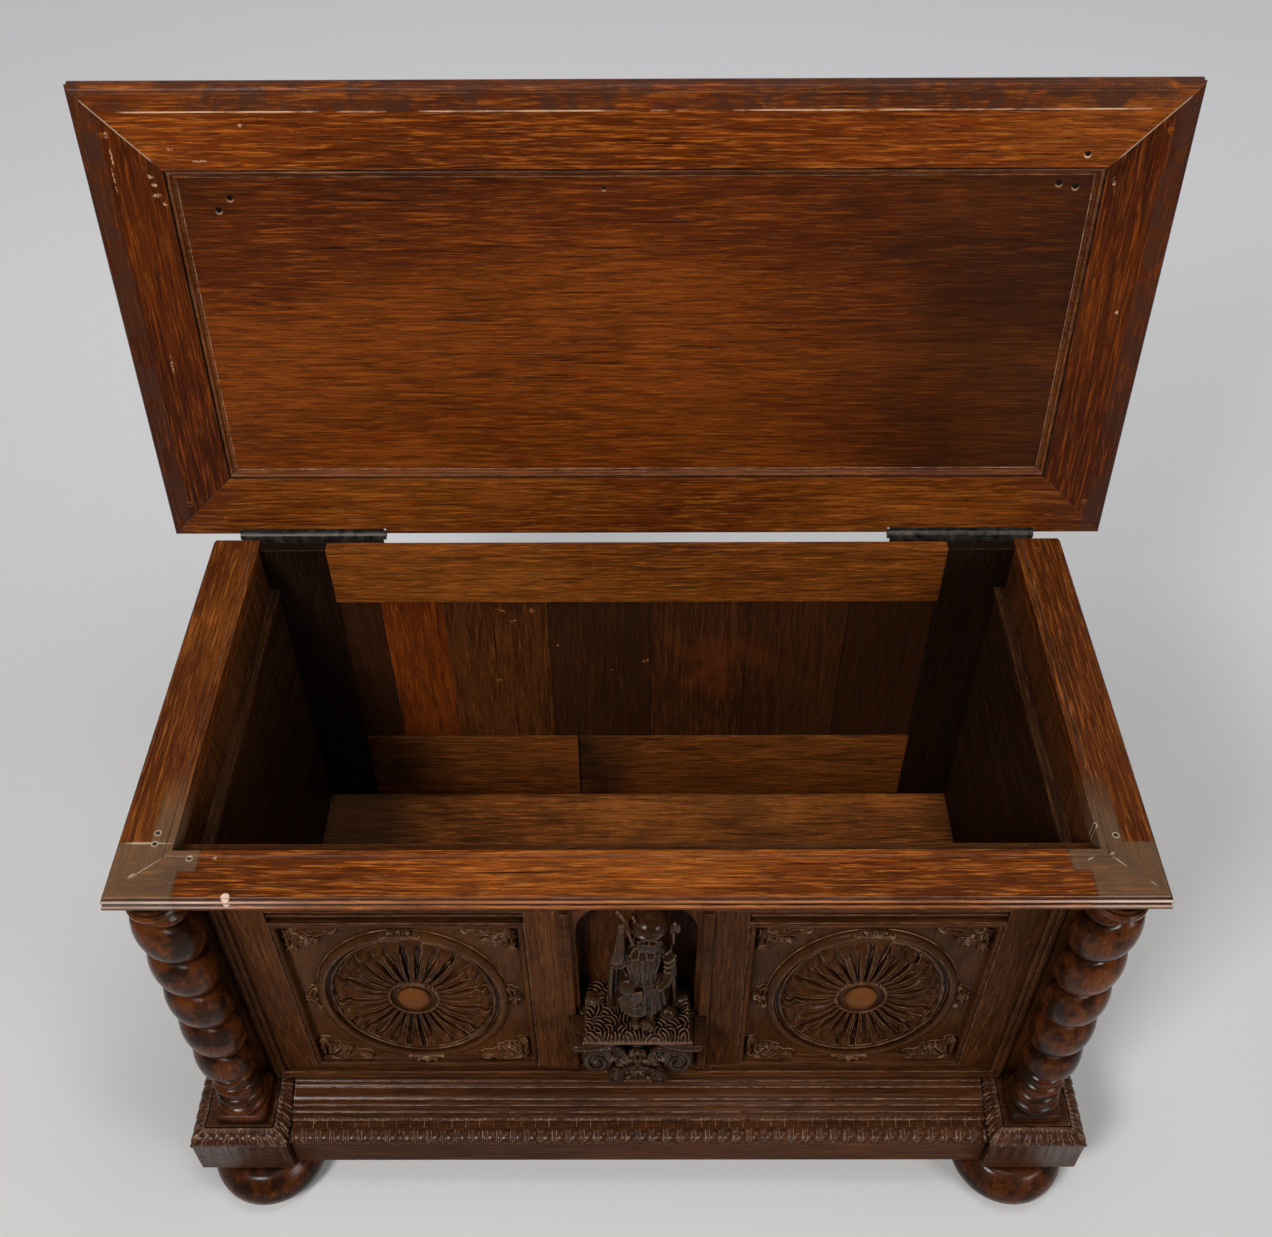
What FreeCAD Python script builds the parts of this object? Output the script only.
import FreeCAD, Part
import math
import os

Vec = FreeCAD.Vector

# Carved chest with a hinged lid, in millimetres. While it is laid out, x runs to the right
# from the middle, y runs back from the front arris of the rim, and z runs up from the floor.
# place_all moves the finished pieces so that the origin is under the middle of the whole.

# Rim that crowns the chest
rim_top = 729.0
rim_half_wide = 590.0
rim_deep = 586.0
rim_thick = 25.0
rim_side_wide = 62.0
rim_front_wide = 63.0
rim_nose = 5.0
rim_bead = 7.0
quirk = 1.6
rim_edge_shares = [
    [(0.0, 0.10)],
    [(0.8, 0.24), (0.0, 0.38)],
    [(0.15, 0.42)],
    [(1.0, 0.64), (0.1, 0.86)],
    [(-0.6, 1.0)],
]

# Lid, laid out shut and then turned open about its hinge pins
lid_open_angle = 97.7
lid_gap = 0.5
lid_over_side = 51.0
lid_over_front = 11.5
lid_over_back = 3.8
lid_thick = 28.0
lid_stile_wide = 85.0
lid_rear_wide = 85.8
lid_front_more = 2.7
lid_nose = 9.0
lid_rear_nose = 6.5
lid_panel_thick = 12.0
lid_panel_sink = 8.0
lid_groove = 8.0
lid_strip_wide = 12.0
lid_strip_sink = 1.5
lid_edge_shares = [
    [(0.0, 0.03)],
    [(0.80, 0.10), (0.95, 0.30)],
    [(0.78, 0.36)],
    [(1.0, 0.62), (0.6, 0.93)],
    [(0.2, 1.0)],
]
rear_edge_shares = [
    [(0.0, 0.02)],
    [(0.72, 0.06), (1.0, 0.18)],
    [(1.0, 0.60)],
    [(0.8, 0.90), (0.3, 1.0)],
]

# Two long butt hinges on the back faces of the lid and the chest
hinge_from_end = 37.0
hinge_long = 198.0
hinge_knuckles = 5
hinge_clear = 0.4
leaf_thick = 3.0
leaf_high = 42.0
lid_leaf_high = 22.0
barrel_radius = 6.75
pin_radius = 2.6
pin_fit = 0.05
pin_cap_long = 3.0
web_high = 4.0
screw_head_radius = 4.0
screw_head_deep = 1.5
screw_radius = 1.8
screw_long = 12.0
screw_x_shares = [0.12, 0.37, 0.63, 0.88]
screw_drop_share = 0.7

# Wooden pegs in the rim and the lid corners
peg_radius = 4.0
peg_long = 14.0
peg_proud = 0.4
peg_from_edge = 22.0
peg_step = 24.0

# Front of the chest
front_y = 67.0
front_thick = 22.0
rim_over_side = 34.0
front_stile_wide = 103.0
muntin_wide = 43.0
front_top_rail_high = 110.0
front_low_rail_high = 117.0
panel_thick = 10.0
panel_sink = 9.0
panel_tongue = 7.0
panel_strip_wide = 15.0
panel_strip_proud = 2.5
panel_strip_flat_share = 0.25
panel_strip_round_share = 0.8
edge_strip_wide = 17.0
edge_strip_in = 40.0
edge_strip_proud = 8.0

# Carving on the two panels
medal_drop = 17.5
ring_margin = 32.5
ring_half_high = 163.0
ring_wide = 11.0
ring_proud = 6.0
leaf_margin_wide = 6.0
leaf_margin_high = 15.0
leaf_count = 26
leaf_proud = 7.0
leaf_inner_share = 0.30
leaf_low_share = 0.3
leaf_shoulder_share = 0.91
boss_half_wide = 24.0
boss_half_high = 29.0
boss_proud = 14.0
spray_radius = 11.0
spray_proud = 5.0
spray_in = 24.0
spray_step = 17.0
border_wide = 5.0
border_proud = 4.0
border_in = 6.0

# Niche between the panels
niche_half_wide = 76.0
niche_jamb_wide = 19.0
niche_behind = 11.0
niche_back_thick = 8.0
niche_head_drop = 138.0
niche_board_sink = 3.0
niche_strip_wide = 13.0
niche_strip_proud = 6.0

# Shelf, scrolled bracket, rocky mound and standing figure
shelf_over = 15.0
shelf_rise = 151.0
shelf_thick = 11.0
shelf_before = 53.0
shelf_hollow = 9.0
shelf_bow_share = 0.45
scroll_radius = 27.0
scroll_x = 56.0
scroll_drop = 43.0
scroll_before = 41.0
foot_scroll_radius = 21.0
foot_scroll_x = 36.0
foot_scroll_drop = 128.0
bracket_core_half = 30.0
bracket_high = 150.0
bracket_bud_radius = 17.0
mound_in = 4.0
mound_before = 47.0
mound_high = 27.0
mound_slope = 14.0
figure_before = 9.0
figure_clear = 33.0
robe_radii_shares = [0.150, 0.158, 0.132, 0.118, 0.150, 0.160, 0.105, 0.048]
shoulder_level_share = 0.76
robe_level_shares = [0.0, 0.12, 0.32, 0.52, 0.66, shoulder_level_share, 0.83, 0.86]
robe_depth_share = 0.62
head_radius_share = 0.066
head_level_share = 0.905
cap_radius_share = 0.058
arm_radius_share = 0.036
arm_out_share = 0.165
arm_fore_share = 0.12
hand_level_share = 0.80
elbow_level_share = 0.58
low_hand_level_share = 0.46

# Twisted columns
column_in = 5.5
column_before = 39.0
column_square = 34.0
column_square_high = 21.0
column_base_high = 49.0
column_cap_high = 59.0
twist_turns = 5
twist_big = 37.5
twist_small = 27.0
twist_steps = 8
twist_end = 20.0
neck_step = 2.5
neck_share = 0.78
column_base_shares = [
    [(0.80, 0.00)], [(0.97, 0.13), (0.80, 0.26)], [(0.76, 0.30)], [(0.76, 0.40)],
    [(0.90, 0.51), (0.76, 0.62)], [(0.70, 0.66)], [(0.70, 0.78)], [(neck_share, 0.82)], [(neck_share, 1.00)],
]
column_cap_shares = [
    [(neck_share, 0.00)], [(0.82, 0.05)], [(0.97, 0.16), (0.80, 0.27)], [(0.80, 0.30)],
    [(0.92, 0.38), (0.78, 0.46)], [(0.76, 0.50)], [(0.76, 0.78)], [(0.99, 0.89), (0.94, 1.00)],
]

# Plinth blocks, base mouldings and aprons
block_inward = 69.0
block_outward = 66.0
block_before = 99.0
block_behind = 36.0
block_high = 72.0
block_shelf = 20.0
block_rise = 17.0
block_curve_steps = 6
apron_before = 86.0
apron_outward = 53.0
apron_thick = 22.0
apron_high = 55.0
base_high = 36.0
base_step_shares = [
    [(0.00, 0.00)], [(0.11, 0.00)], [(0.11, 0.10)], [(0.17, 0.14), (0.20, 0.22)],
    [(0.24, 0.22)], [(0.32, 0.24), (0.38, 0.36)], [(0.46, 0.36)], [(0.46, 0.44)],
    [(0.56, 0.44)], [(0.56, 0.52)], [(0.68, 0.52)], [(0.68, 0.60)], [(0.75, 0.60)],
    [(0.92, 0.68), (1.00, 0.92)], [(1.00, 1.00)], [(0.00, 1.00)],
]
gadroon_pitch = 17.0
gadroon_cut = 1.6

# Bun feet
foot_in = 17.0
foot_before = 49.0
rear_foot_in = 58.0
foot_high = 82.0
foot_radius = 81.0
foot_neck_radius = 46.0
foot_rest_radius = 56.0
foot_ring_high = 9.0
foot_neck_share = 0.82
round_share = 0.7071

# Sides, back and floor
side_thick = 28.0
side_stile_wide = 84.0
side_rail_high = 80.0
side_low_rail_high = 123.0
side_panel_thick = 12.0
side_panel_sink = 9.0
lining_thick = 12.0
lining_drop = 65.0
lining_boards = 3
batten_wide = 15.0
batten_high = 10.0
back_thick = 16.0
back_sink = 5.5
back_stile_wide = 93.0
back_rail_drop = 108.0
back_boards_rise = 150.0
back_boards_below = 44.0
back_joint_share = -0.143
plank_thick = 9.0
plank_sink = 4.0
plank_edge_shares = [-1.0, -0.858, -0.651, -0.299, 0.046, 0.379, 0.713, 1.0]
light_plank = 1
floor_rise = 82.0
floor_thick = 14.0
floor_boards = 4
bearer = 24.0

# How far a cutting shape runs past what it cuts
overrun = 3.0
half_share = 0.5
full_turn = 360.0
quarter_turn = 90.0

# Places across the chest, out from its middle
carcase_half_wide = rim_half_wide - rim_over_side
lid_half_wide = rim_half_wide + lid_over_side
side_in_x = carcase_half_wide - side_thick
hinge_in_x = rim_half_wide - hinge_from_end - hinge_long
edge_strip_x = carcase_half_wide - edge_strip_in - edge_strip_wide
niche_frame_half = niche_half_wide + niche_jamb_wide
panel_in_x = niche_frame_half + muntin_wide
panel_out_x = carcase_half_wide - front_stile_wide
panel_mid_x = (panel_in_x + panel_out_x) * half_share
panel_half_wide = panel_out_x - panel_mid_x
ring_half_wide = panel_half_wide - ring_margin
leaf_half_wide = ring_half_wide - ring_wide - leaf_margin_wide
shelf_half_wide = niche_half_wide + shelf_over
mound_half_wide = niche_half_wide - mound_in
column_x = carcase_half_wide - column_in
block_in_x = carcase_half_wide - block_inward
block_out_x = carcase_half_wide + block_outward
apron_out_x = carcase_half_wide + apron_outward
foot_x = carcase_half_wide - foot_in
back_stile_in_x = side_in_x - back_stile_wide
back_joint_x = back_stile_in_x * back_joint_share

# Places from the front to the back
front_back_y = front_y + front_thick
back_in_y = rim_deep - back_thick
lid_back_y = rim_deep + lid_over_back
lid_front_y = -lid_over_front
lid_front_wide = lid_rear_wide + lid_front_more
pin_y = rim_deep + leaf_thick + hinge_clear + barrel_radius
niche_back_y = front_back_y + niche_behind
shelf_front_y = front_y - shelf_before
scroll_front_y = front_y - scroll_before
mound_front_y = front_y - mound_before
figure_y = front_y - figure_before
column_y = front_y - column_before
block_front_y = front_y - block_before
block_back_y = front_y + block_behind
rear_block_y = rim_deep - block_back_y + block_front_y
apron_y = front_y - apron_before
foot_y = front_y - foot_before
rear_foot_y = rim_deep - rear_foot_in

# Levels
rim_low = rim_top - rim_thick
lid_low = rim_top + lid_gap
pin_z = rim_top + lid_gap
carcase_low = foot_high
panel_low = carcase_low + front_low_rail_high
panel_high = rim_low - front_top_rail_high
medal_z = (panel_low + panel_high) * half_share - medal_drop
leaf_half_high = ring_half_high - ring_wide - leaf_margin_high
niche_spring_z = rim_low - niche_head_drop
shelf_top = panel_low + shelf_rise
scroll_z = shelf_top - scroll_drop
foot_scroll_z = shelf_top - foot_scroll_drop
bracket_low = shelf_top - bracket_high
figure_z = shelf_top + mound_high
figure_high = niche_spring_z + niche_half_wide - figure_clear - figure_z
block_nose_z = carcase_low + block_high
block_top = block_nose_z + block_rise
base_low = carcase_low + apron_high
base_top = base_low + base_high
column_foot_z = block_top + column_square_high
twist_low = column_foot_z + column_base_high
twist_high = rim_low - column_cap_high
floor_top = carcase_low + floor_rise
side_low_rail_top = carcase_low + side_low_rail_high
lining_top = rim_low - lining_drop
back_rail_low = rim_top - back_rail_drop
back_boards_top = floor_top + back_boards_rise
back_boards_low = floor_top - back_boards_below


def box(x0, x1, y0, y1, z0, z1):
    return Part.makeBox(x1 - x0, y1 - y0, z1 - z0, Vec(x0, y0, z0))


def loop(path, lift):
    # Each entry is an end point, or a middle point and an end point for an arc.
    edges = []
    here = path[0][-1]
    for step in path[1:] + path[:1]:
        end = step[-1]
        if step[1:]:
            edges.append(Part.Arc(lift(*here), lift(*step[0]), lift(*end)).toShape())
        else:
            edges.append(Part.LineSegment(lift(*here), lift(*end)).toShape())
        here = end
    return Part.Face(Part.Wire(edges))


def along_x(path, x0, x1):
    return loop(path, lambda y, z: Vec(x0, y, z)).extrude(Vec(x1 - x0, 0, 0))


def along_y(path, y0, y1):
    return loop(path, lambda x, z: Vec(x, y0, z)).extrude(Vec(0, y1 - y0, 0))


def along_z(path, z0, z1):
    return loop(path, lambda x, y: Vec(x, y, z0)).extrude(Vec(0, 0, z1 - z0))


def corners(points):
    return [[point] for point in points]


def mirrored(shape):
    return shape.mirror(Vec(0, 0, 0), Vec(1, 0, 0))


def turned_open(shape):
    shape.rotate(Vec(0, pin_y, pin_z), Vec(1, 0, 0), -lid_open_angle)
    return shape


def spun(path, x, y):
    # A body of revolution about an upright axis; the path gives (radius, z), from low to high.
    low, high = path[0][0][1], path[-1][0][1]
    face = loop([[(0, low)]] + path + [[(0, high)]], lambda r, z: Vec(r, 0, z))
    solid = face.revolve(Vec(0, 0, 0), Vec(0, 0, 1), full_turn)
    solid.translate(Vec(x, y, 0))
    return solid


# Rim
def rail_path(wide, nose, thick, edge_z, down, shares, bead):
    # Across the rail from its outer arris; down is -1 where the edge hangs below edge_z.
    path = [[(0, edge_z)]]
    for step in shares:
        path.append([(-out * nose, edge_z + down * drop * thick) for out, drop in step])
    path += corners([(wide, edge_z + down * thick), (wide, edge_z)])
    if bead:
        path += corners([(wide - bead, edge_z), (wide - bead - quirk, edge_z + down * quirk),
                         (wide - bead - quirk - quirk, edge_z)])
    return path


def rim_front_rail():
    reach = rim_half_wide + rim_nose
    path = rail_path(rim_front_wide, rim_nose, rim_thick, rim_top, -1, rim_edge_shares, rim_bead)
    inner = rim_half_wide - rim_side_wide
    plan = corners([(-reach, -rim_nose), (reach, -rim_nose), (inner, rim_front_wide),
                    (-inner, rim_front_wide)])
    return along_x(path, -reach, reach).common(along_z(plan, rim_low, rim_top))


def rim_right_rail():
    reach = rim_half_wide + rim_nose
    path = rail_path(rim_side_wide, rim_nose, rim_thick, rim_top, -1, rim_edge_shares, rim_bead)
    path = [[(rim_half_wide - across, z) for across, z in step] for step in path]
    inner = rim_half_wide - rim_side_wide
    plan = corners([(reach, -rim_nose), (reach, rim_deep), (inner, rim_deep), (inner, rim_front_wide)])
    return along_y(path, -rim_nose, rim_deep).common(along_z(plan, rim_low, rim_top))


def peg(x, y, top):
    return Part.makeCylinder(peg_radius, peg_long, Vec(x, y, top - peg_long + peg_proud))


def rim_pegs():
    pegs = []
    for side in (-1, 1):
        outer = rim_half_wide - peg_from_edge
        pegs.append(peg(side * outer, peg_from_edge + peg_step, rim_top))
        pegs.append(peg(side * (outer - peg_step - peg_step), peg_from_edge, rim_top))
        pegs.append(peg(side * (outer - peg_step * half_share), rim_deep - peg_step, rim_top))
    return pegs


# Front frame, panels and mouldings
def front_stile():
    return box(panel_out_x, carcase_half_wide, front_y, front_back_y, carcase_low, rim_low)


def front_muntin():
    return box(niche_frame_half, panel_in_x, front_y, front_back_y, panel_low, panel_high)


def front_top_rail():
    rail = box(-panel_out_x, panel_out_x, front_y, front_back_y, panel_high, rim_low)
    return rail.cut(niche_hole(front_y - overrun, front_back_y + overrun))


def front_bottom_rail():
    return box(-panel_out_x, panel_out_x, front_y, front_back_y, carcase_low, panel_low)


def panel_board():
    tongue_y = front_y + panel_sink
    return box(panel_in_x - panel_tongue, panel_out_x + panel_tongue, tongue_y, tongue_y + panel_thick,
               panel_low - panel_tongue, panel_high + panel_tongue)


def oval(half_wide, half_high, back_y, proud):
    # An upright oval plate in front of back_y.
    if half_high > half_wide:
        curve = Part.Ellipse(Vec(0, 0, 0), half_high, half_wide)
        face = Part.Face(Part.Wire([curve.toShape()]))
        face.rotate(Vec(0, 0, 0), Vec(0, 0, 1), quarter_turn)
    else:
        curve = Part.Ellipse(Vec(0, 0, 0), half_wide, half_high)
        face = Part.Face(Part.Wire([curve.toShape()]))
    face.rotate(Vec(0, 0, 0), Vec(1, 0, 0), quarter_turn)
    face.translate(Vec(panel_mid_x, back_y, medal_z))
    return face.extrude(Vec(0, -proud, 0))


def leaf_ridge(index, back_y):
    # One petal of the rosette: a roof-shaped ridge that rises from the boss to its tip.
    spread = full_turn / leaf_count
    turn = math.radians(index * spread)
    side = math.radians(spread * half_share)

    def at(share, angle, proud):
        return Vec(panel_mid_x + leaf_half_wide * share * math.sin(angle), back_y - proud,
                   medal_z + leaf_half_high * share * math.cos(angle))
    low = leaf_proud * leaf_low_share
    near = [at(leaf_inner_share, turn - side, 0), at(leaf_inner_share, turn + side, 0),
            at(leaf_inner_share, turn, low)]
    far = [at(leaf_shoulder_share, turn - side, 0), at(leaf_shoulder_share, turn + side, 0),
           at(1, turn, leaf_proud)]
    base = at(1, turn, 0)
    faces = [
        near,
        [near[0], far[0], base, far[1], near[1]],
        [near[0], far[0], far[2]], [near[0], far[2], near[2]],
        [near[1], near[2], far[2]], [near[1], far[2], far[1]],
        [far[0], base, far[2]], [far[1], far[2], base],
    ]
    shell = Part.Shell([Part.Face(Part.makePolygon(points + points[:1])) for points in faces])
    ridge = Part.Solid(shell)
    if ridge.Volume < 0:
        ridge.reverse()
    return ridge


def carved_panel():
    back_y = front_y + panel_sink
    ring_in_wide = ring_half_wide - ring_wide
    ring_in_high = ring_half_high - ring_wide
    ring = oval(ring_half_wide, ring_half_high, back_y, ring_proud)
    ring = ring.cut(oval(ring_in_wide, ring_in_high, back_y + overrun, ring_proud + overrun + overrun))
    parts = [ring]
    parts += [leaf_ridge(index, back_y) for index in range(leaf_count)]
    parts.append(oval(boss_half_wide, boss_half_high, back_y, boss_proud))
    border_x = panel_half_wide - panel_strip_wide - border_in
    border_low = panel_low + panel_strip_wide + border_in
    border_high = panel_high - panel_strip_wide - border_in
    frame = box(panel_mid_x - border_x, panel_mid_x + border_x, back_y - border_proud, back_y,
                border_low, border_high)
    frame = frame.cut(box(panel_mid_x - border_x + border_wide, panel_mid_x + border_x - border_wide,
                          back_y - border_proud - overrun, back_y + overrun,
                          border_low + border_wide, border_high - border_wide))
    parts.append(frame)
    for side in (-1, 1):
        for z, up in ((border_low, 1), (border_high, -1)):
            for step_x, step_z in ((0, 0), (1, 0), (0, 1)):
                at = Vec(panel_mid_x + side * (border_x - spray_in - step_x * spray_step), back_y,
                         z + up * (spray_in + step_z * spray_step))
                parts.append(Part.makeCylinder(spray_radius, spray_proud, at, Vec(0, -1, 0)))
    return panel_board().multiFuse(parts)


def strip_frame(x0, x1, z0, z1, wide, path):
    # Four mitred strips round an opening in the front; path is (in from the edge, y).
    strips = []
    low = along_x([[(y, z0 + inward) for inward, y in step] for step in path], x0, x1)
    high = along_x([[(y, z1 - inward) for inward, y in step] for step in path], x0, x1)
    left = along_z([[(x0 + inward, y) for inward, y in step] for step in path], z0, z1)
    right = along_z([[(x1 - inward, y) for inward, y in step] for step in path], z0, z1)
    near, far = front_y - front_thick, front_back_y
    in_x0, in_x1, in_z0, in_z1 = x0 + wide, x1 - wide, z0 + wide, z1 - wide
    for strip, plan in (
            (low, [(x0, z0), (x1, z0), (in_x1, in_z0), (in_x0, in_z0)]),
            (high, [(x0, z1), (x1, z1), (in_x1, in_z1), (in_x0, in_z1)]),
            (left, [(x0, z0), (x0, z1), (in_x0, in_z1), (in_x0, in_z0)]),
            (right, [(x1, z0), (x1, z1), (in_x1, in_z1), (in_x1, in_z0)])):
        strips.append(strip.common(along_y(corners(plan), near, far)))
    return strips


def panel_strips():
    # An ovolo that leans from the frame down to the sunk panel.
    bed = front_y + panel_sink
    lip = front_y - panel_strip_proud
    path = [[(0, bed)], [(0, lip)], [(panel_strip_wide * panel_strip_flat_share, lip)],
            [(panel_strip_wide * panel_strip_round_share, lip + panel_strip_proud),
             (panel_strip_wide, bed - panel_strip_proud)],
            [(panel_strip_wide, bed)]]
    return strip_frame(panel_in_x, panel_out_x, panel_low, panel_high, panel_strip_wide, path)


def bead_path(wide, proud):
    # Two beads side by side on a flat back; each entry is (across, y).
    step = wide * half_share
    slope = step * half_share
    mid = front_y - proud + slope * half_share
    return [[(0, front_y)], [(0, mid)], [(slope, front_y - proud), (step, mid)],
            [(step + slope, front_y - proud), (wide, mid)], [(wide, front_y)]]


def edge_strips():
    # Double-bead moulding down both ends of the front and along its foot.
    outer = edge_strip_x + edge_strip_wide
    path = bead_path(edge_strip_wide, edge_strip_proud)
    low = along_x([[(y, base_top + inward) for inward, y in step] for step in path], -outer, outer)
    right = along_z([[(outer - inward, y) for inward, y in step] for step in path],
                    base_top, rim_low)
    near = front_y - front_thick
    high_z = base_top + edge_strip_wide
    foot = corners([(-outer, base_top), (outer, base_top), (edge_strip_x, high_z),
                    (-edge_strip_x, high_z)])
    leg = corners([(outer, base_top), (outer, rim_low), (edge_strip_x, rim_low), (edge_strip_x, high_z)])
    low = low.common(along_y(foot, near, front_y))
    right = right.common(along_y(leg, near, front_y))
    return [low, right, mirrored(right)]


# Niche, shelf, bracket, mound and figure
def niche_hole(y0, y1):
    # Upright opening with a round head.
    top = niche_spring_z + niche_half_wide
    path = [[(-niche_half_wide, shelf_top)], [(niche_half_wide, shelf_top)],
            [(niche_half_wide, niche_spring_z)], [(0, top), (-niche_half_wide, niche_spring_z)]]
    return along_y(path, y0, y1)


def niche_arch():
    front = front_y + niche_board_sink
    lower = box(-niche_frame_half, niche_frame_half, front, front_back_y, panel_low, panel_high)
    return lower.cut(niche_hole(front - overrun, front_back_y + overrun))


def niche_case():
    # Hollowed block behind the arch, with the niche's floor and back left in it.
    top = niche_spring_z + niche_half_wide + niche_back_thick
    case = box(-niche_frame_half, niche_frame_half, front_back_y, niche_back_y + niche_back_thick,
               shelf_top - niche_back_thick, top)
    return case.cut(niche_hole(front_back_y - overrun, niche_back_y))


def niche_strips():
    path = bead_path(niche_strip_wide, niche_strip_proud)
    shaped = [[(niche_frame_half - inward, y) for inward, y in step] for step in path]
    strip = along_z(shaped, panel_low, panel_high)
    return [strip, mirrored(strip)]


def shelf():
    low_y = shelf_front_y + shelf_hollow
    bow = shelf_half_wide * shelf_bow_share
    step_x = (shelf_half_wide + bow) * half_share
    back_y = front_y + niche_board_sink
    path = [[(-shelf_half_wide, back_y)], [(-shelf_half_wide, low_y)],
            [(-step_x, shelf_front_y), (-bow, low_y)],
            [(0, low_y + shelf_hollow * half_share), (bow, low_y)],
            [(step_x, shelf_front_y), (shelf_half_wide, low_y)],
            [(shelf_half_wide, back_y)]]
    return along_z(path, shelf_top - shelf_thick, shelf_top)


def bracket():
    under = shelf_top - shelf_thick
    back_y = front_y + niche_board_sink
    core_path = corners([(back_y, under), (scroll_front_y, under), (scroll_front_y, scroll_z),
                         (back_y - foot_scroll_radius, foot_scroll_z), (back_y, bracket_low)])
    parts = []
    for side in (-1, 1):
        at = Vec(side * scroll_x, back_y, scroll_z)
        parts.append(Part.makeCylinder(scroll_radius, back_y - scroll_front_y, at, Vec(0, -1, 0)))
        at = Vec(side * foot_scroll_x, back_y, foot_scroll_z)
        parts.append(Part.makeCylinder(foot_scroll_radius, foot_scroll_radius, at, Vec(0, -1, 0)))
    bud = Vec(0, scroll_front_y, scroll_z)
    parts.append(Part.makeSphere(bracket_bud_radius, bud))
    return along_x(core_path, -bracket_core_half, bracket_core_half).multiFuse(parts)


def mound():
    low = corners([(-mound_half_wide, mound_front_y), (mound_half_wide, mound_front_y),
                   (mound_half_wide, niche_back_y), (-mound_half_wide, niche_back_y)])
    inner = mound_half_wide - mound_slope
    high = corners([(-inner, mound_front_y + mound_slope), (inner, mound_front_y + mound_slope),
                    (inner, niche_back_y), (-inner, niche_back_y)])
    wires = []
    for path, z in ((low, shelf_top), (high, shelf_top + mound_high)):
        points = [Vec(x, y, z) for (x, y), in path]
        wires.append(Part.makePolygon(points + points[:1]))
    return Part.makeLoft(wires, True, True)


def limb(start, end, radius):
    reach = end.sub(start)
    shaft = Part.makeCylinder(radius, reach.Length, start, reach)
    return [shaft, Part.makeSphere(radius, start), Part.makeSphere(radius, end)]


def figure():
    # Robed standing figure: oval sections from hem to neck, head, cap and two arms.
    rings = []
    for radius_share, level_share in zip(robe_radii_shares, robe_level_shares):
        wide = figure_high * radius_share
        curve = Part.Ellipse(Vec(0, figure_y, figure_z + figure_high * level_share), wide,
                             wide * robe_depth_share)
        rings.append(Part.Wire([curve.toShape()]))
    robe = Part.makeLoft(rings, True, True)
    head_z = figure_z + figure_high * head_level_share
    parts = [Part.makeSphere(figure_high * head_radius_share, Vec(0, figure_y, head_z))]
    cap_radius = figure_high * cap_radius_share
    parts.append(Part.makeSphere(cap_radius, Vec(0, figure_y, head_z + cap_radius * half_share)))
    thick = figure_high * arm_radius_share
    out = figure_high * arm_out_share
    fore = figure_y - figure_high * arm_fore_share
    elbow_z = figure_z + figure_high * elbow_level_share
    shoulder_z = figure_z + figure_high * shoulder_level_share
    raised = figure_z + figure_high * hand_level_share
    lowered = figure_z + figure_high * low_hand_level_share
    for side, hand_z in ((-1, raised), (1, lowered)):
        shoulder = Vec(side * (out - thick), figure_y, shoulder_z)
        elbow = Vec(side * out, figure_y - thick, elbow_z)
        hand = Vec(side * (out - thick), fore, hand_z)
        parts += limb(shoulder, elbow, thick) + limb(elbow, hand, thick)
    return robe.multiFuse(parts)


# Twisted columns
def twist_section(z, turn):
    # Round section whose centre winds about the column's axis; both ends come back to the neck.
    neck = neck_share * column_square - neck_step
    grown = min(1, (z - twist_low) / twist_end, (twist_high - z) / twist_end)
    radius = neck + ((twist_big + twist_small) * half_share - neck) * grown
    sway = (twist_big - twist_small) * half_share * grown
    angle = math.radians(turn + full_turn * half_share)
    centre = Vec(sway * math.cos(angle), sway * math.sin(angle), z)
    return Part.Wire([Part.Circle(centre, Vec(0, 0, 1), radius).toShape()])


def twisted_shaft():
    # Sections climb the axis and turn as they rise, so that the swelling winds up the shaft.
    count = twist_turns * twist_steps
    sections = []
    for index in range(count + 1):
        share = index / count
        z = twist_low + (twist_high - twist_low) * share
        sections.append(twist_section(z, full_turn * twist_turns * share))
    return Part.makeLoft(sections, True, False)


def column():
    shaft = twisted_shaft()
    parts = [box(-column_square, column_square, -column_square, column_square, block_top, column_foot_z)]
    for low, high, shares in ((column_foot_z, twist_low, column_base_shares),
                              (twist_high, rim_low, column_cap_shares)):
        path = [[(column_square * out, low + (high - low) * up) for out, up in step] for step in shares]
        parts.append(spun(path, 0, 0))
    whole = shaft.multiFuse(parts)
    whole.translate(Vec(column_x, column_y, 0))
    return whole


# Plinth
def gadroon_teeth(start, end, at, axis):
    # Wedge-shaped cuts across an edge, at an even pitch along x or y.
    count = int((end - start) / gadroon_pitch)
    pitch = (end - start) / (count + 1)
    cuts = []
    for index in range(count):
        place = start + pitch * (index + 1)
        for along, across, z, reach in at:
            if axis == "x":
                cuts.append(box(place - gadroon_cut * half_share, place + gadroon_cut * half_share,
                                along, across, z, reach))
            else:
                cuts.append(box(along, across, place - gadroon_cut * half_share,
                                place + gadroon_cut * half_share, z, reach))
    return cuts


def carved(shape, cuts):
    return shape.cut(Part.makeCompound(cuts))


def base_path(bed, out):
    high = base_top - base_low
    return [[(bed + (out - bed) * wide, base_top - high * drop) for wide, drop in step]
            for step in base_step_shares]


def base_front():
    moulding = along_x(base_path(front_y, apron_y), -block_in_x, block_in_x)
    cuts = gadroon_teeth(-block_in_x, block_in_x,
                         [(apron_y - overrun, apron_y + block_shelf * half_share, base_low + overrun,
                           base_top)], "x")
    return carved(moulding, cuts)


def base_side():
    moulding = along_y(base_path(carcase_half_wide, apron_out_x), block_back_y, rear_block_y)
    cuts = gadroon_teeth(block_back_y, rear_block_y,
                         [(apron_out_x - block_shelf * half_share, apron_out_x + overrun,
                           base_low + overrun, base_top)], "y")
    return carved(moulding, cuts)


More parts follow.
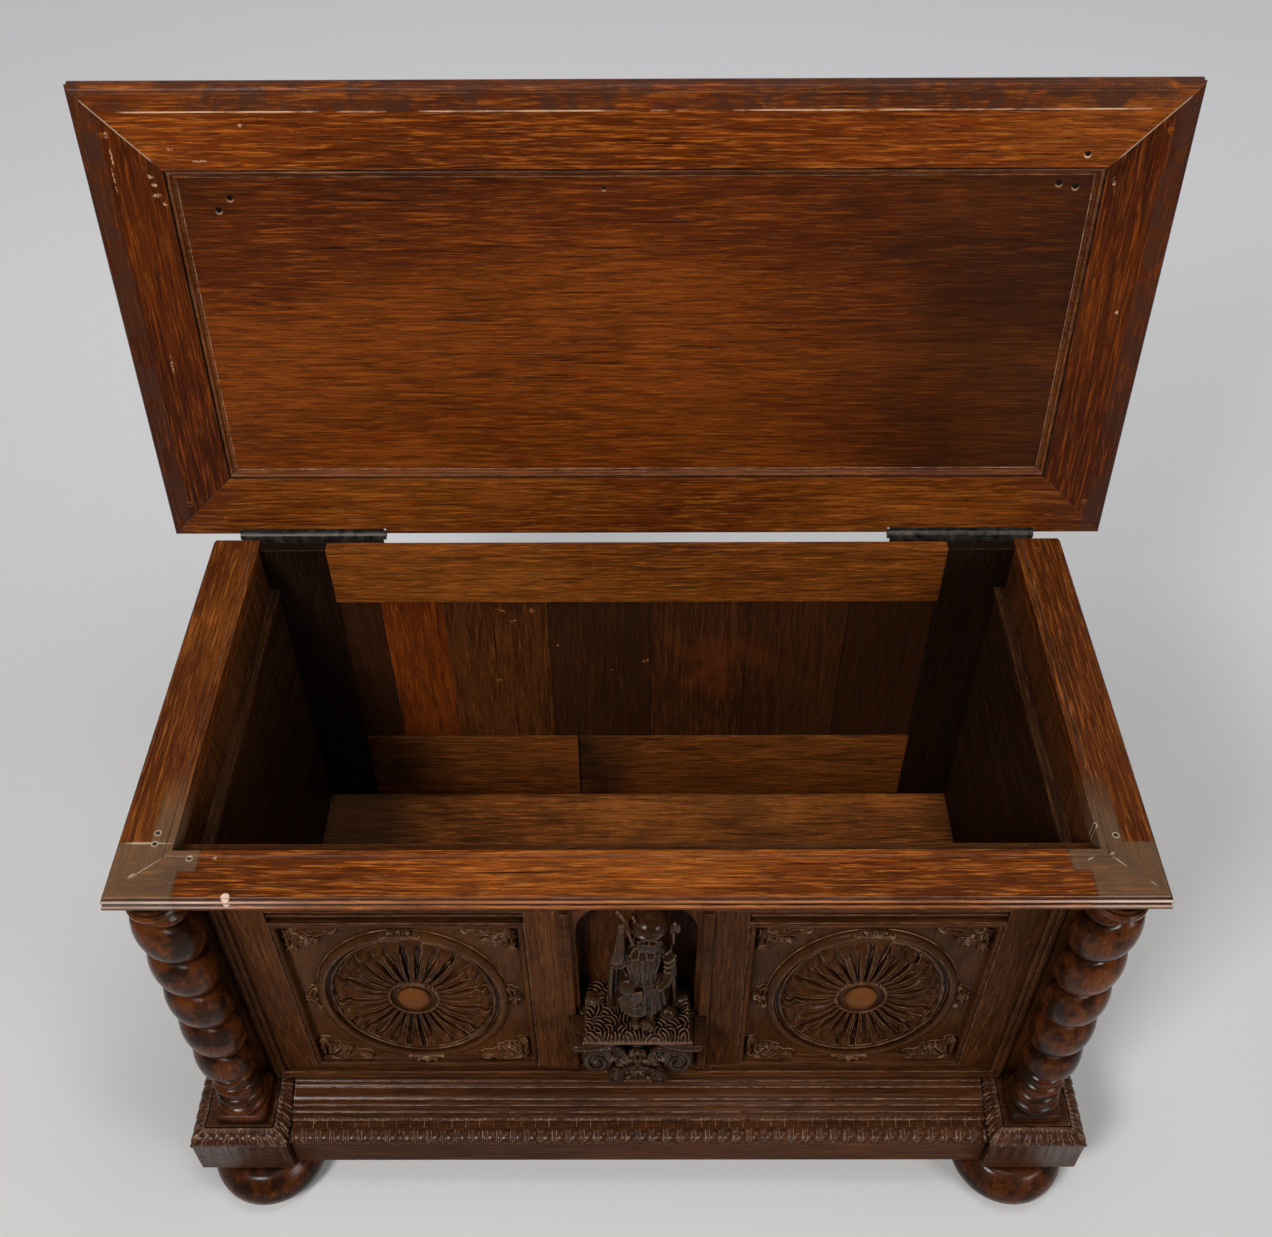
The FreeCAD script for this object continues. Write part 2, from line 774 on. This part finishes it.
def plinth_block():
    # Square block with a carved quarter-round round its top, let in round the chest's corner.
    mid_x = (block_in_x + block_out_x) * half_share
    mid_y = (block_front_y + block_back_y) * half_share
    half_wide = block_out_x - mid_x
    solid = box(block_in_x, block_out_x, block_front_y, block_back_y, carcase_low, block_nose_z)
    wires = []
    for index in range(block_curve_steps + 1):
        angle = math.radians(quarter_turn * index / block_curve_steps)
        inset = block_shelf * (1 - math.cos(angle))
        z = block_nose_z + (block_top - block_nose_z) * math.sin(angle)
        reach = half_wide - inset
        points = [Vec(mid_x - reach, mid_y - reach, z), Vec(mid_x + reach, mid_y - reach, z),
                  Vec(mid_x + reach, mid_y + reach, z), Vec(mid_x - reach, mid_y + reach, z)]
        wires.append(Part.makePolygon(points + points[:1]))
    solid = solid.fuse(Part.makeLoft(wires, True, True)).removeSplitter()
    low = block_nose_z + overrun
    rise = block_shelf * half_share
    cuts = gadroon_teeth(block_in_x, block_out_x,
                         [(block_front_y - overrun, block_front_y + rise, low, block_top + overrun)], "x")
    cuts += gadroon_teeth(block_front_y, block_back_y,
                          [(block_out_x - rise, block_out_x + overrun, low, block_top + overrun)], "y")
    solid = carved(solid, cuts)
    return solid.cut(box(block_in_x - overrun, carcase_half_wide, front_y, block_back_y + overrun,
                         carcase_low - overrun, rim_top))


def rear_block():
    return box(carcase_half_wide, block_out_x, rear_block_y, rim_deep, carcase_low, block_nose_z)


def front_apron():
    return box(-block_in_x, block_in_x, apron_y, apron_y + apron_thick, carcase_low, base_low)


def side_apron():
    return box(apron_out_x - apron_thick, apron_out_x, block_back_y, rear_block_y, carcase_low, base_low)


def bun_foot(x, y):
    ring_z = carcase_low - foot_ring_high
    middle = ring_z * half_share
    neck = foot_neck_radius * foot_neck_share
    bulge = foot_radius - foot_rest_radius
    low_round = (foot_rest_radius + bulge * round_share, middle - middle * round_share)
    high_round = (neck + (foot_radius - neck) * round_share, middle + middle * round_share)
    path = [[(foot_rest_radius, 0)], [low_round, (foot_radius, middle)], [high_round, (neck, ring_z)],
            [(foot_neck_radius, ring_z)], [(foot_neck_radius, carcase_low)]]
    return spun(path, x, y)


# Sides, back and floor
def side_frame():
    front_stile_y = front_back_y + side_stile_wide
    rear_stile_y = rim_deep - side_stile_wide
    out = carcase_half_wide
    return [
        box(side_in_x, out, front_back_y, front_stile_y, carcase_low, rim_low),
        box(side_in_x, out, rear_stile_y, rim_deep, carcase_low, rim_low),
        box(side_in_x, out, front_stile_y, rear_stile_y, rim_low - side_rail_high, rim_low),
        box(side_in_x, out, front_stile_y, rear_stile_y, carcase_low, side_low_rail_top),
    ]


def side_panel():
    out = carcase_half_wide - side_panel_sink
    return box(out - side_panel_thick, out, front_back_y + side_stile_wide, rim_deep - side_stile_wide,
               side_low_rail_top, rim_low - side_rail_high)


def side_lining():
    high = (lining_top - floor_top) / lining_boards
    boards = []
    for index in range(lining_boards):
        low = floor_top + high * index
        boards.append(box(side_in_x - lining_thick, side_in_x, front_back_y, back_in_y, low, low + high))
    return boards


def side_batten():
    return box(side_in_x - batten_wide, side_in_x, front_back_y, back_in_y, lining_top,
               lining_top + batten_high)


def back_stile():
    return box(back_stile_in_x, side_in_x, back_in_y, rim_deep, carcase_low, rim_top - back_sink)


def back_top_rail():
    return box(-back_stile_in_x, back_stile_in_x, back_in_y, rim_deep, back_rail_low, rim_top - back_sink)


def back_low_boards():
    return [box(-back_stile_in_x, back_joint_x, back_in_y, rim_deep, back_boards_low, back_boards_top),
            box(back_joint_x, back_stile_in_x, back_in_y, rim_deep, back_boards_low, back_boards_top)]


def back_planks():
    planks = []
    edges = [back_stile_in_x * share for share in plank_edge_shares]
    for left, right in zip(edges[:-1], edges[1:]):
        planks.append(box(left, right, back_in_y + plank_sink, back_in_y + plank_sink + plank_thick,
                          back_boards_top, back_rail_low))
    return planks


def floor_planks():
    deep = (back_in_y - front_back_y) / floor_boards
    reach = side_in_x
    return [box(-reach, reach, front_back_y + deep * index, front_back_y + deep * (index + 1),
                floor_top - floor_thick, floor_top) for index in range(floor_boards)]


def floor_bearers():
    low = floor_top - floor_thick
    bar = box(side_in_x - bearer, side_in_x, front_back_y, back_in_y, low - bearer, low)
    return [bar, mirrored(bar)]


# Lid
def lid_rail_path(wide, shares, nose):
    return rail_path(wide, nose, lid_thick, lid_low, 1, shares, 0)


def lid_panel_box(grow):
    reach = lid_half_wide - lid_stile_wide + grow
    return box(-reach, reach, lid_front_y + lid_front_wide - grow, lid_back_y - lid_rear_wide + grow,
               lid_low + lid_panel_sink, lid_low + lid_panel_sink + lid_panel_thick)


def lid_plans():
    reach = lid_half_wide + lid_nose
    inner = lid_half_wide - lid_stile_wide
    near = lid_front_y - lid_nose
    front = lid_front_y + lid_front_wide
    rear = lid_back_y - lid_rear_wide
    far = lid_back_y + lid_rear_nose
    return {
        "front": [(-reach, near), (reach, near), (inner, front), (-inner, front)],
        "rear": [(-reach, far), (reach, far), (inner, rear), (-inner, rear)],
        "right": [(reach, near), (reach, far), (inner, rear), (inner, front)],
    }


def hinge_notches():
    # Recesses in the lid's rear edge for the hinge leaves and barrels.
    spare = pin_cap_long + hinge_clear
    x0, x1 = hinge_in_x - spare, hinge_in_x + hinge_long + spare
    notch = box(x0, x1, rim_deep, lid_back_y + lid_rear_nose + overrun, lid_low - overrun,
                lid_low + lid_thick + overrun)
    return Part.makeCompound([notch, mirrored(notch)])


def lid_board(name):
    plan = along_z(corners(lid_plans()[name]), lid_low, lid_low + lid_thick)
    reach = lid_half_wide + lid_nose
    near, far = lid_front_y - lid_nose, lid_back_y + lid_rear_nose
    if name == "front":
        path = lid_rail_path(lid_front_wide, lid_edge_shares, lid_nose)
        board = along_x([[(lid_front_y + a, z) for a, z in step] for step in path], -reach, reach)
    elif name == "rear":
        path = lid_rail_path(lid_rear_wide, rear_edge_shares, lid_rear_nose)
        board = along_x([[(lid_back_y - a, z) for a, z in step] for step in path], -reach, reach)
        board = board.cut(hinge_notches())
    else:
        path = lid_rail_path(lid_stile_wide, lid_edge_shares, lid_nose)
        board = along_y([[(lid_half_wide - a, z) for a, z in step] for step in path], near, far)
    return board.common(plan).cut(lid_panel_box(lid_groove))


def lid_strips():
    # Small ovolo strips round the sunk panel on the underside.
    x1 = lid_half_wide - lid_stile_wide
    y0 = lid_front_y + lid_front_wide
    y1 = lid_back_y - lid_rear_wide
    low = lid_low + lid_strip_sink
    high = lid_low + lid_panel_sink
    wide = lid_strip_wide
    path = [[(0, high)], [(0, low)], [(wide * half_share * half_share, low)],
            [(wide * half_share + lid_strip_sink, low + lid_strip_sink), (wide, high - lid_strip_sink)],
            [(wide, high)]]
    front = along_x([[(y0 + a, z) for a, z in step] for step in path], -x1, x1)
    rear = along_x([[(y1 - a, z) for a, z in step] for step in path], -x1, x1)
    right = along_y([[(x1 - a, z) for a, z in step] for step in path], y0, y1)
    inner = x1 - wide
    plans = [(front, [(-x1, y0), (x1, y0), (inner, y0 + wide), (-inner, y0 + wide)]),
             (rear, [(-x1, y1), (x1, y1), (inner, y1 - wide), (-inner, y1 - wide)]),
             (right, [(x1, y0), (x1, y1), (inner, y1 - wide), (inner, y0 + wide)])]
    strips = [strip.common(along_z(corners(plan), low, high)) for strip, plan in plans]
    return strips + [mirrored(strips[-1])]


def lid_pegs():
    pegs = []
    reach = lid_half_wide - peg_from_edge
    for side in (-1, 1):
        for x, y in ((reach, lid_front_y + peg_from_edge + peg_step),
                     (reach - peg_step - peg_step, lid_front_y + peg_from_edge),
                     (reach, lid_back_y - peg_from_edge - peg_step),
                     (reach - peg_step - peg_step, lid_back_y - peg_from_edge)):
            low = lid_low - peg_proud * half_share
            pegs.append(Part.makeCylinder(peg_radius, peg_long, Vec(side * x, y, low)))
    return pegs


# Hinges
def knuckle_ends(index):
    step = hinge_long / hinge_knuckles
    start = hinge_in_x + step * index
    return start + hinge_clear * half_share, start + step - hinge_clear * half_share


def hinge_leaf(moving):
    x0, x1 = hinge_in_x, hinge_in_x + hinge_long
    edge = hinge_clear * half_share
    if moving:
        plate = box(x0, x1, rim_deep, rim_deep + leaf_thick, pin_z + edge, pin_z + lid_leaf_high)
    else:
        plate = box(x0, x1, rim_deep, rim_deep + leaf_thick, pin_z - leaf_high, pin_z - edge)
    parts = []
    owners = [False, True] * hinge_knuckles
    for index in range(hinge_knuckles):
        if owners[index] != moving:
            continue
        start, end = knuckle_ends(index)
        parts.append(Part.makeCylinder(barrel_radius, end - start, Vec(start, pin_y, pin_z), Vec(1, 0, 0)))
        low = pin_z + edge if moving else pin_z - web_high
        parts.append(box(start, end, rim_deep, pin_y, low, low + web_high - edge))
    bore = Part.makeCylinder(pin_radius + pin_fit, hinge_long + overrun + overrun,
                             Vec(x0 - overrun, pin_y, pin_z), Vec(1, 0, 0))
    return plate.multiFuse(parts).cut(bore)


def hinge_pin():
    x0 = knuckle_ends(0)[0]
    x1 = knuckle_ends(hinge_knuckles - 1)[1]
    rod = Part.makeCylinder(pin_radius, x1 - x0, Vec(x0, pin_y, pin_z), Vec(1, 0, 0))
    caps = [Part.makeCylinder(barrel_radius, pin_cap_long, Vec(x0 - pin_cap_long, pin_y, pin_z), Vec(1, 0, 0)),
            Part.makeCylinder(barrel_radius, pin_cap_long, Vec(x1, pin_y, pin_z), Vec(1, 0, 0))]
    return rod.multiFuse(caps)


def leaf_screws(moving):
    screws = []
    if moving:
        z = pin_z + lid_leaf_high * screw_drop_share
    else:
        z = pin_z - leaf_high * screw_drop_share
    for share in screw_x_shares:
        x = hinge_in_x + hinge_long * share
        head = Part.makeCylinder(screw_head_radius, screw_head_deep,
                                 Vec(x, rim_deep + leaf_thick - screw_head_deep, z), Vec(0, 1, 0))
        shank = Part.makeCylinder(screw_radius, screw_long, Vec(x, rim_deep + leaf_thick - screw_long, z),
                                  Vec(0, 1, 0))
        screws.append(head.fuse(shank))
    return screws + [mirrored(screw) for screw in screws]


def build():
    pieces = {}
    pegs = rim_pegs()
    peg_cut = Part.makeCompound(pegs)
    low_screws = leaf_screws(False)
    high_screws = leaf_screws(True)
    low_cut = Part.makeCompound(low_screws)
    high_cut = Part.makeCompound(high_screws)
    right = rim_right_rail()
    pieces["rim_front_rail"] = [rim_front_rail().cut(peg_cut)]
    pieces["rim_right_rail"] = [right.cut(peg_cut)]
    pieces["rim_left_rail"] = [mirrored(right).cut(peg_cut)]
    pieces["rim_pegs"] = pegs

    grooves = panel_board()
    groove_cut = Part.makeCompound([grooves, mirrored(grooves)])
    for name, shape in (("front_stiles", front_stile()), ("front_muntins", front_muntin())):
        pieces[name] = [shape.cut(groove_cut), mirrored(shape).cut(groove_cut)]
    pieces["front_top_rail"] = [front_top_rail().cut(groove_cut)]
    pieces["front_bottom_rail"] = [front_bottom_rail().cut(groove_cut)]
    panel = carved_panel()
    pieces["carved_panel_right"] = [panel]
    pieces["carved_panel_left"] = [mirrored(panel)]
    strips = panel_strips()
    pieces["panel_mouldings"] = strips + [mirrored(strip) for strip in strips]
    pieces["front_edge_moulding"] = edge_strips()

    pieces["niche_arch"] = [niche_arch()]
    pieces["niche_case"] = [niche_case()]
    beads = niche_strips()
    bead_cut = Part.makeCompound(beads)
    pieces["niche_mouldings"] = beads
    pieces["figure"] = [figure()]
    pieces["mound"] = [mound()]
    pieces["shelf"] = [shelf().cut(bead_cut)]
    pieces["bracket"] = [bracket().cut(bead_cut)]

    post = column()
    pieces["column_right"] = [post]
    pieces["column_left"] = [mirrored(post)]
    corner = plinth_block()
    pieces["plinth_block_right"] = [corner]
    pieces["plinth_block_left"] = [mirrored(corner)]
    rear = rear_block()
    pieces["rear_blocks"] = [rear, mirrored(rear)]
    pieces["base_moulding_front"] = [base_front()]
    side = base_side()
    pieces["base_mouldings_side"] = [side, mirrored(side)]
    pieces["apron_front"] = [front_apron()]
    pieces["aprons_side"] = [side_apron(), mirrored(side_apron())]
    for name, x, y in (("foot_front_right", foot_x, foot_y), ("foot_front_left", -foot_x, foot_y),
                       ("foot_rear_right", foot_x, rear_foot_y), ("foot_rear_left", -foot_x, rear_foot_y)):
        pieces[name] = [bun_foot(x, y)]

    frame = side_frame()
    frame = [board.cut(low_cut) for board in frame]
    pieces["side_frame_right"] = frame
    pieces["side_frame_left"] = [mirrored(board) for board in frame]
    pieces["side_panels"] = [side_panel(), mirrored(side_panel())]
    lining = side_lining()
    pieces["side_lining_right"] = lining
    pieces["side_lining_left"] = [mirrored(board) for board in lining]
    pieces["side_battens"] = [side_batten(), mirrored(side_batten())]
    stile = back_stile().cut(low_cut)
    pieces["back_stiles"] = [stile, mirrored(stile)]
    pieces["back_top_rail"] = [back_top_rail().cut(low_cut)]
    pieces["back_low_boards"] = back_low_boards()
    planks = back_planks()
    pieces["back_light_plank"] = [planks.pop(light_plank)]
    pieces["back_planks"] = planks
    pieces["floor_boards"] = floor_planks()
    pieces["floor_bearers"] = floor_bearers()

    fixed = hinge_leaf(False).cut(low_cut)
    swinging = hinge_leaf(True).cut(high_cut)
    pieces["hinge_leaf_right"] = [fixed]
    pieces["hinge_leaf_left"] = [mirrored(fixed)]
    pieces["hinge_pins"] = [hinge_pin(), mirrored(hinge_pin())]
    pieces["hinge_screws"] = low_screws

    lid = {}
    lid_peg_list = lid_pegs()
    lid_cut = Part.makeCompound(lid_peg_list + high_screws)
    lid["lid_front_rail"] = [lid_board("front").cut(lid_cut)]
    lid["lid_rear_rail"] = [lid_board("rear").cut(lid_cut)]
    stile = lid_board("right")
    lid["lid_stile_right"] = [stile.cut(lid_cut)]
    lid["lid_stile_left"] = [mirrored(stile).cut(lid_cut)]
    lid["lid_panel"] = [lid_panel_box(lid_groove)]
    lid["lid_strips"] = lid_strips()
    lid["lid_pegs"] = lid_peg_list
    lid["lid_leaf_right"] = [swinging]
    lid["lid_leaf_left"] = [mirrored(swinging)]
    lid["lid_screws"] = high_screws
    for name, shapes in lid.items():
        pieces[name] = [turned_open(shape.copy()) for shape in shapes]
    return pieces


def back_reach():
    # How far back the upper front edge of the open lid reaches.
    turn = math.radians(lid_open_angle)
    reaches = []
    for step in [[(0, 0)]] + lid_edge_shares:
        for out, rise in step:
            y = lid_front_y - out * lid_nose - pin_y
            z = lid_low + rise * lid_thick - pin_z
            reaches.append(pin_y + y * math.cos(turn) + z * math.sin(turn))
    return max(reaches)


def place_all():
    os.makedirs("parts", exist_ok=True)
    middle_y = (foot_y - foot_radius + back_reach()) * half_share
    for name, shapes in build().items():
        whole = shapes[0] if len(shapes) == 1 else Part.makeCompound(shapes)
        whole.translate(Vec(0, -middle_y, 0))
        whole.exportStep("parts/" + name + ".step")
    print("middle y", middle_y, "pin y", pin_y - middle_y, "pin z", pin_z)


place_all()
